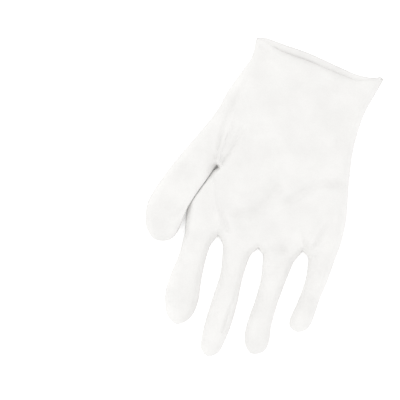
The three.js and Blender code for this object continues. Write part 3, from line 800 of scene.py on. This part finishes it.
def panel_mesh(name, pattern, front):
    """Shell of one panel: its outer face, an inner face one wall further in along the
    normals, and rims between them along the seam and the raw cuff edge."""
    shape = pattern.shape
    outer = np.column_stack([pattern.points, pattern.heights(front)])
    faces = pattern.faces if front else pattern.faces[:, ::-1]
    normal = corner_normals(outer, faces)
    inner = outer - shape.wall * normal
    inner[pattern.seam] = outer[pattern.seam]
    inner[pattern.seam, :2] += shape.wall * pattern.inward
    count = len(outer)
    rims = []
    for line in (pattern.seam, pattern.cuff[::-1]):
        a, b = line[:-1], line[1:]
        quads = np.stack([b, a, a + count, b + count], 1)
        rims.append(quads if front else quads[:, ::-1])
    everything = np.concatenate([faces, faces[:, ::-1] + count, *rims])
    points = np.concatenate([outer, inner])
    return make_object(name, points, everything, np.concatenate([pattern.points] * 2))


def tubes(paths, radius, sides=6):
    """Round threads along paths, each a row of points: rings across the path's direction,
    closed by a flat cap at each end."""
    count, steps = paths.shape[:2]
    ahead = np.gradient(paths, axis=1)
    ahead /= np.linalg.norm(ahead, axis=2)[..., None]
    first = np.cross(ahead, (0.31, 0.47, 0.83))
    first /= np.linalg.norm(first, axis=2)[..., None]
    second = np.cross(ahead, first)
    turn = 2 * np.pi * np.arange(sides)[:, None] / sides
    ring = np.cos(turn) * first[:, :, None] + np.sin(turn) * second[:, :, None]
    points = (paths[:, :, None] + radius * ring).reshape(-1, 3)
    ids = np.arange(count * steps * sides).reshape(count, steps, sides)
    after = np.roll(ids, -1, axis=2)
    faces = np.stack([ids[:, :-1], after[:, :-1], after[:, 1:], ids[:, 1:]], -1)
    half = sides // 2
    caps = []
    for ring_ids in (ids[:, 0, ::-1], ids[:, -1]):
        for k in range(1, half):
            caps.append(ring_ids[:, [k - 1, k, sides - 1 - k, sides - k]])
    return points, np.concatenate([faces.reshape(-1, 4), *caps])


def join(*parts):
    """One list of points and one of faces from several."""
    starts = np.cumsum([0] + [len(points) for points, _ in parts[:-1]])
    faces = np.concatenate([faces + start for (_, faces), start in zip(parts, starts)])
    return np.concatenate([points for points, _ in parts]), faces


def seam_mesh(name, pattern):
    """Seam allowance: a flat strip inside the outline at the seam's height, four corners
    in its section, with stitches that bridge the groove between the two panels."""
    shape = pattern.shape
    line = pattern.points[pattern.seam]
    raised = np.char.startswith(pattern.seam_part, "thumb")

    def at(offset, rise):
        place = line + pattern.inward * offset
        lift = np.where(raised, pattern.thumb_lift(line + pattern.inward * offset / 2), 0)
        return np.column_stack([place, shape.seam_height + lift + rise])

    half, recess = shape.seam_thickness / 2, shape.seam_recess
    strip = np.stack([at(recess, -half), at(recess + shape.seam_width, -half),
                      at(recess + shape.seam_width, half), at(recess, half)], 1)
    count = len(line)
    ids = np.arange(count * 4).reshape(count, 4)
    turned = np.roll(ids, -1, axis=1)
    faces = np.stack([ids[:-1], turned[:-1], turned[1:], ids[1:]], -1).reshape(-1, 4)
    caps = np.array([[3, 2, 1, 0], [0, 1, 2, 3]]) + np.array([[0], [4 * (count - 1)]])
    strip = strip.reshape(-1, 3), np.concatenate([faces, caps])
    stitches = round(pattern.seam_run[-1] / shape.stitch_length)
    run = (np.arange(stitches) + 0.5) * pattern.seam_run[-1] / stitches
    paths = []
    for step in np.linspace(-1, 1, STITCH["points"]):
        ring = at(STITCH["out"] + STITCH["bow"] * step**2, STITCH["rise"] * step * half)
        moved = run + STITCH["slant"] * step * shape.stitch_length
        paths.append([np.interp(moved, pattern.seam_run, ring[:, k]) for k in range(3)])
    stitch = tubes(np.array(paths).transpose(2, 0, 1), shape.thread_radius)
    points, faces = join(strip, stitch)
    return make_object(name, points, faces, points[:, :2])


def node(tree, kind, inputs=None, **settings):
    """New shader node with its settings, and its sockets set or linked by name."""
    made = tree.nodes.new(kind)
    for key, value in settings.items():
        setattr(made, key, value)
    for key, value in (inputs or {}).items():
        if isinstance(value, bpy.types.NodeSocket):
            tree.links.new(value, made.inputs[key])
        else:
            made.inputs[key].default_value = value
    return made


def maths(tree, operation, *values):
    """Math node of one operation on numbers or sockets."""
    return node(tree, "ShaderNodeMath", dict(enumerate(values)), operation=operation).outputs[0]


def noise(tree, uv, kind):
    """Noise over the cloth with the scale, detail and roughness of one kind."""
    scale, detail, roughness = KNIT[kind]
    return node(tree, "ShaderNodeTexNoise", {
        "Vector": uv, "Scale": scale, "Detail": detail, "Roughness": roughness}).outputs["Fac"]


def knit_material(name, cloth, colour, shade):
    """Cotton knit: ribs one wale wide, each a column of slanted loops, over fine fuzz,
    with a faint change of tone from patch to patch."""
    material = bpy.data.materials.new(name)
    material.use_nodes = True
    tree = material.node_tree
    tree.nodes.clear()

    def sum_of(first, second, share):
        return maths(tree, "ADD", first, maths(tree, "MULTIPLY", second, share))

    uv = node(tree, "ShaderNodeUVMap", uv_map="cloth").outputs["UV"]
    parts = node(tree, "ShaderNodeSeparateXYZ", {"Vector": uv}).outputs
    wale = maths(tree, "FRACT", maths(tree, "DIVIDE", parts["X"], cloth.wale))
    across = maths(tree, "ABSOLUTE", maths(tree, "SUBTRACT", wale, 0.5))
    rib = maths(tree, "POWER", maths(tree, "MULTIPLY", across, 2.0), 2.0)
    rib = maths(tree, "SUBTRACT", 1.0, rib)
    course = sum_of(maths(tree, "DIVIDE", parts["Y"], cloth.course), across, KNIT["slant"])
    loop = maths(tree, "SINE", maths(tree, "MULTIPLY", course, 2 * math.pi))
    relief = sum_of(sum_of(rib, loop, KNIT["loop"]), noise(tree, uv, "fuzz"), KNIT["fuzz_height"])
    bump = node(tree, "ShaderNodeBump", {"Height": relief, "Strength": KNIT["strength"],
                                         "Distance": cloth.relief}).outputs["Normal"]
    patches = maths(tree, "MULTIPLY", noise(tree, uv, "patches"), KNIT["patches_share"])
    tone = sum_of(patches, noise(tree, uv, "grain"), KNIT["grain_share"])
    low, high = KNIT["range"]
    ramp = node(tree, "ShaderNodeMapRange", {"Value": tone, "From Min": low, "From Max": high})
    tint = node(tree, "ShaderNodeMix", {"Factor": ramp.outputs["Result"]}, data_type="RGBA")
    tint.inputs[6].default_value = (*shade, 1)
    tint.inputs[7].default_value = (*colour, 1)
    shader = node(tree, "ShaderNodeBsdfPrincipled", {
        "Base Color": tint.outputs[2], "Roughness": 0.92, "Specular IOR Level": 0.2,
        "Sheen Weight": 0.15, "Sheen Roughness": 0.5, "Normal": bump})
    output = node(tree, "ShaderNodeOutputMaterial")
    tree.links.new(shader.outputs[0], output.inputs["Surface"])
    return material


def glove_pattern(context, front, detail):
    """Flat cut of the front or the back panel at the given number of steps."""
    shape = context.scene.glove_shape
    if front:
        return Pattern(shape, FRONT_CUFF, shape.front_dip, OPEN_EDGE, detail)
    return Pattern(shape, BACK_CUFF, shape.back_dip, CLOSED_EDGE, detail)


def make_floor(stage):
    """Square floor just below the glove, with a faint light of its own."""
    corners = np.array([(-1, -1), (1, -1), (1, 1), (-1, 1)]) * FLOOR_HALF
    points = np.column_stack([corners, np.full(4, -FLOOR_DROP)])
    floor = make_object("floor", points, np.array([[0, 1, 2, 3]]))
    material = bpy.data.materials.new("floor_paper")
    material.use_nodes = True
    inputs = material.node_tree.nodes["Principled BSDF"].inputs
    inputs["Base Color"].default_value = (*stage.floor, 1)
    inputs["Roughness"].default_value = 0.9
    inputs["Emission Color"].default_value = (1, 1, 1, 1)
    inputs["Emission Strength"].default_value = stage.glow
    floor.data.materials.append(material)
    return floor


def make_sky(stage):
    """Even white light from all round."""
    world = bpy.data.worlds.new("studio")
    world.use_nodes = True
    inputs = world.node_tree.nodes["Background"].inputs
    inputs["Color"].default_value = (1, 1, 1, 1)
    inputs["Strength"].default_value = stage.sky
    return world


def make_lamp(stage, middle):
    """Soft round lamp at the picture's upper left, turned towards the glove's middle."""
    data = bpy.data.lights.new("soft_lamp", "AREA")
    data.shape = "DISK"
    data.size = LAMP_SIZE
    data.energy = stage.lamp
    lamp = bpy.data.objects.new("soft_lamp", data)
    right = np.array([math.cos(stage.turn), math.sin(stage.turn), 0])
    up = np.array([-math.sin(stage.turn), math.cos(stage.turn), 0])
    offset = LAMP_PLACE[0] * right + LAMP_PLACE[1] * up + np.array([0, 0, LAMP_PLACE[2]])
    lamp.location = middle + offset
    x, y, z = -offset / np.linalg.norm(offset)
    lamp.rotation_euler = (math.acos(-z), 0, math.atan2(y, x) - math.pi / 2)
    return lamp


def make_camera(stage, middle):
    """Camera straight above the glove's middle, turned about the upright."""
    data = bpy.data.cameras.new("camera")
    data.sensor_width = SENSOR
    data.lens = SENSOR * stage.distance / stage.field
    data.clip_end = 20.0
    camera = bpy.data.objects.new("camera", data)
    camera.location = middle + (0, 0, stage.distance)
    camera.rotation_euler = (0, 0, stage.turn)
    return camera


def knit_of(context, name, colour, shade):
    """Knit material in two of the cloth's named colours."""
    cloth = context.scene.glove_cloth
    return knit_material(name, cloth, getattr(cloth, colour), getattr(cloth, shade))


class GLOVE_OT_front_panel(bpy.types.Operator):
    """Make the knit panel over the palm and the front of the fingers"""

    bl_idname = "glove.front_panel"
    bl_label = "Front Panel"

    def execute(self, context):
        piece = panel_mesh("palm_panel_cloth", glove_pattern(context, True, FINE), True)
        material = knit_of(context, "cotton_knit_front", "cotton", "cotton_shade")
        piece.data.materials.append(material)
        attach(piece, "root")
        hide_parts("palm_panel")
        return {"FINISHED"}


class GLOVE_OT_back_panel(bpy.types.Operator):
    """Make the knit panel that the glove lies on"""

    bl_idname = "glove.back_panel"
    bl_label = "Back Panel"

    def execute(self, context):
        piece = panel_mesh("back_panel_cloth", glove_pattern(context, False, PLAIN), False)
        material = knit_of(context, "cotton_knit_back", "cotton", "cotton_shade")
        piece.data.materials.append(material)
        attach(piece, "root")
        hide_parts("back_panel")
        return {"FINISHED"}


class GLOVE_OT_seam(bpy.types.Operator):
    """Make the seam allowance and its stitches"""

    bl_idname = "glove.seam"
    bl_label = "Seam"

    def execute(self, context):
        piece = seam_mesh("outline_seam_thread", glove_pattern(context, False, PLAIN))
        piece.data.materials.append(knit_of(context, "seam_thread", "thread", "cotton"))
        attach(piece, "root")
        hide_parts("outline_seam")
        return {"FINISHED"}


class GLOVE_OT_stage(bpy.types.Operator):
    """Make the floor, the light and the camera"""

    bl_idname = "glove.stage"
    bl_label = "Stage"

    def execute(self, context):
        scene, stage = context.scene, context.scene.glove_stage
        middle = np.array([*LOOKED_AT, scene.glove_shape.seam_height])
        make_floor(stage)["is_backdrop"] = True
        scene.world = make_sky(stage)
        scene.collection.objects.link(make_lamp(stage, middle))
        scene.camera = make_camera(stage, middle)
        scene.collection.objects.link(scene.camera)
        scene.view_settings.view_transform = "Standard"
        scene.view_settings.look = "None"
        return {"FINISHED"}


class GLOVE_PT_sidebar(bpy.types.Panel):
    """Sizes, colours and steps of the glove"""

    bl_label = "Inspection Glove"
    bl_idname = "GLOVE_PT_sidebar"
    bl_space_type = "VIEW_3D"
    bl_region_type = "UI"
    bl_category = "Glove"

    def draw(self, context):
        for operator in OPERATORS:
            self.layout.operator(operator.bl_idname)
        for group in GROUPS:
            box = self.layout.box()
            settings = getattr(context.scene, GROUPS[group])
            for key in group.__annotations__:
                box.prop(settings, key)


OPERATORS = (GLOVE_OT_front_panel, GLOVE_OT_back_panel, GLOVE_OT_seam, GLOVE_OT_stage)
GROUPS = {GloveShape: "glove_shape", GloveCloth: "glove_cloth", GloveStage: "glove_stage"}


def register():
    for group, name in GROUPS.items():
        bpy.utils.register_class(group)
        setattr(bpy.types.Scene, name, bpy.props.PointerProperty(type=group))
    for operator in OPERATORS:
        bpy.utils.register_class(operator)
    bpy.utils.register_class(GLOVE_PT_sidebar)


def unregister():
    bpy.utils.unregister_class(GLOVE_PT_sidebar)
    for operator in OPERATORS:
        bpy.utils.unregister_class(operator)
    for group, name in GROUPS.items():
        delattr(bpy.types.Scene, name)
        bpy.utils.unregister_class(group)


def main():
    register()
    bpy.ops.glove.front_panel()
    bpy.ops.glove.back_panel()
    bpy.ops.glove.seam()
    bpy.ops.glove.stage()
    boxes = {"cad": CAD_BOX, "visual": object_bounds()}
    for name, box in boxes.items():
        boxes[name] = [[float(value) for value in corner] for corner in box]


if __name__ == "__main__":
    main()
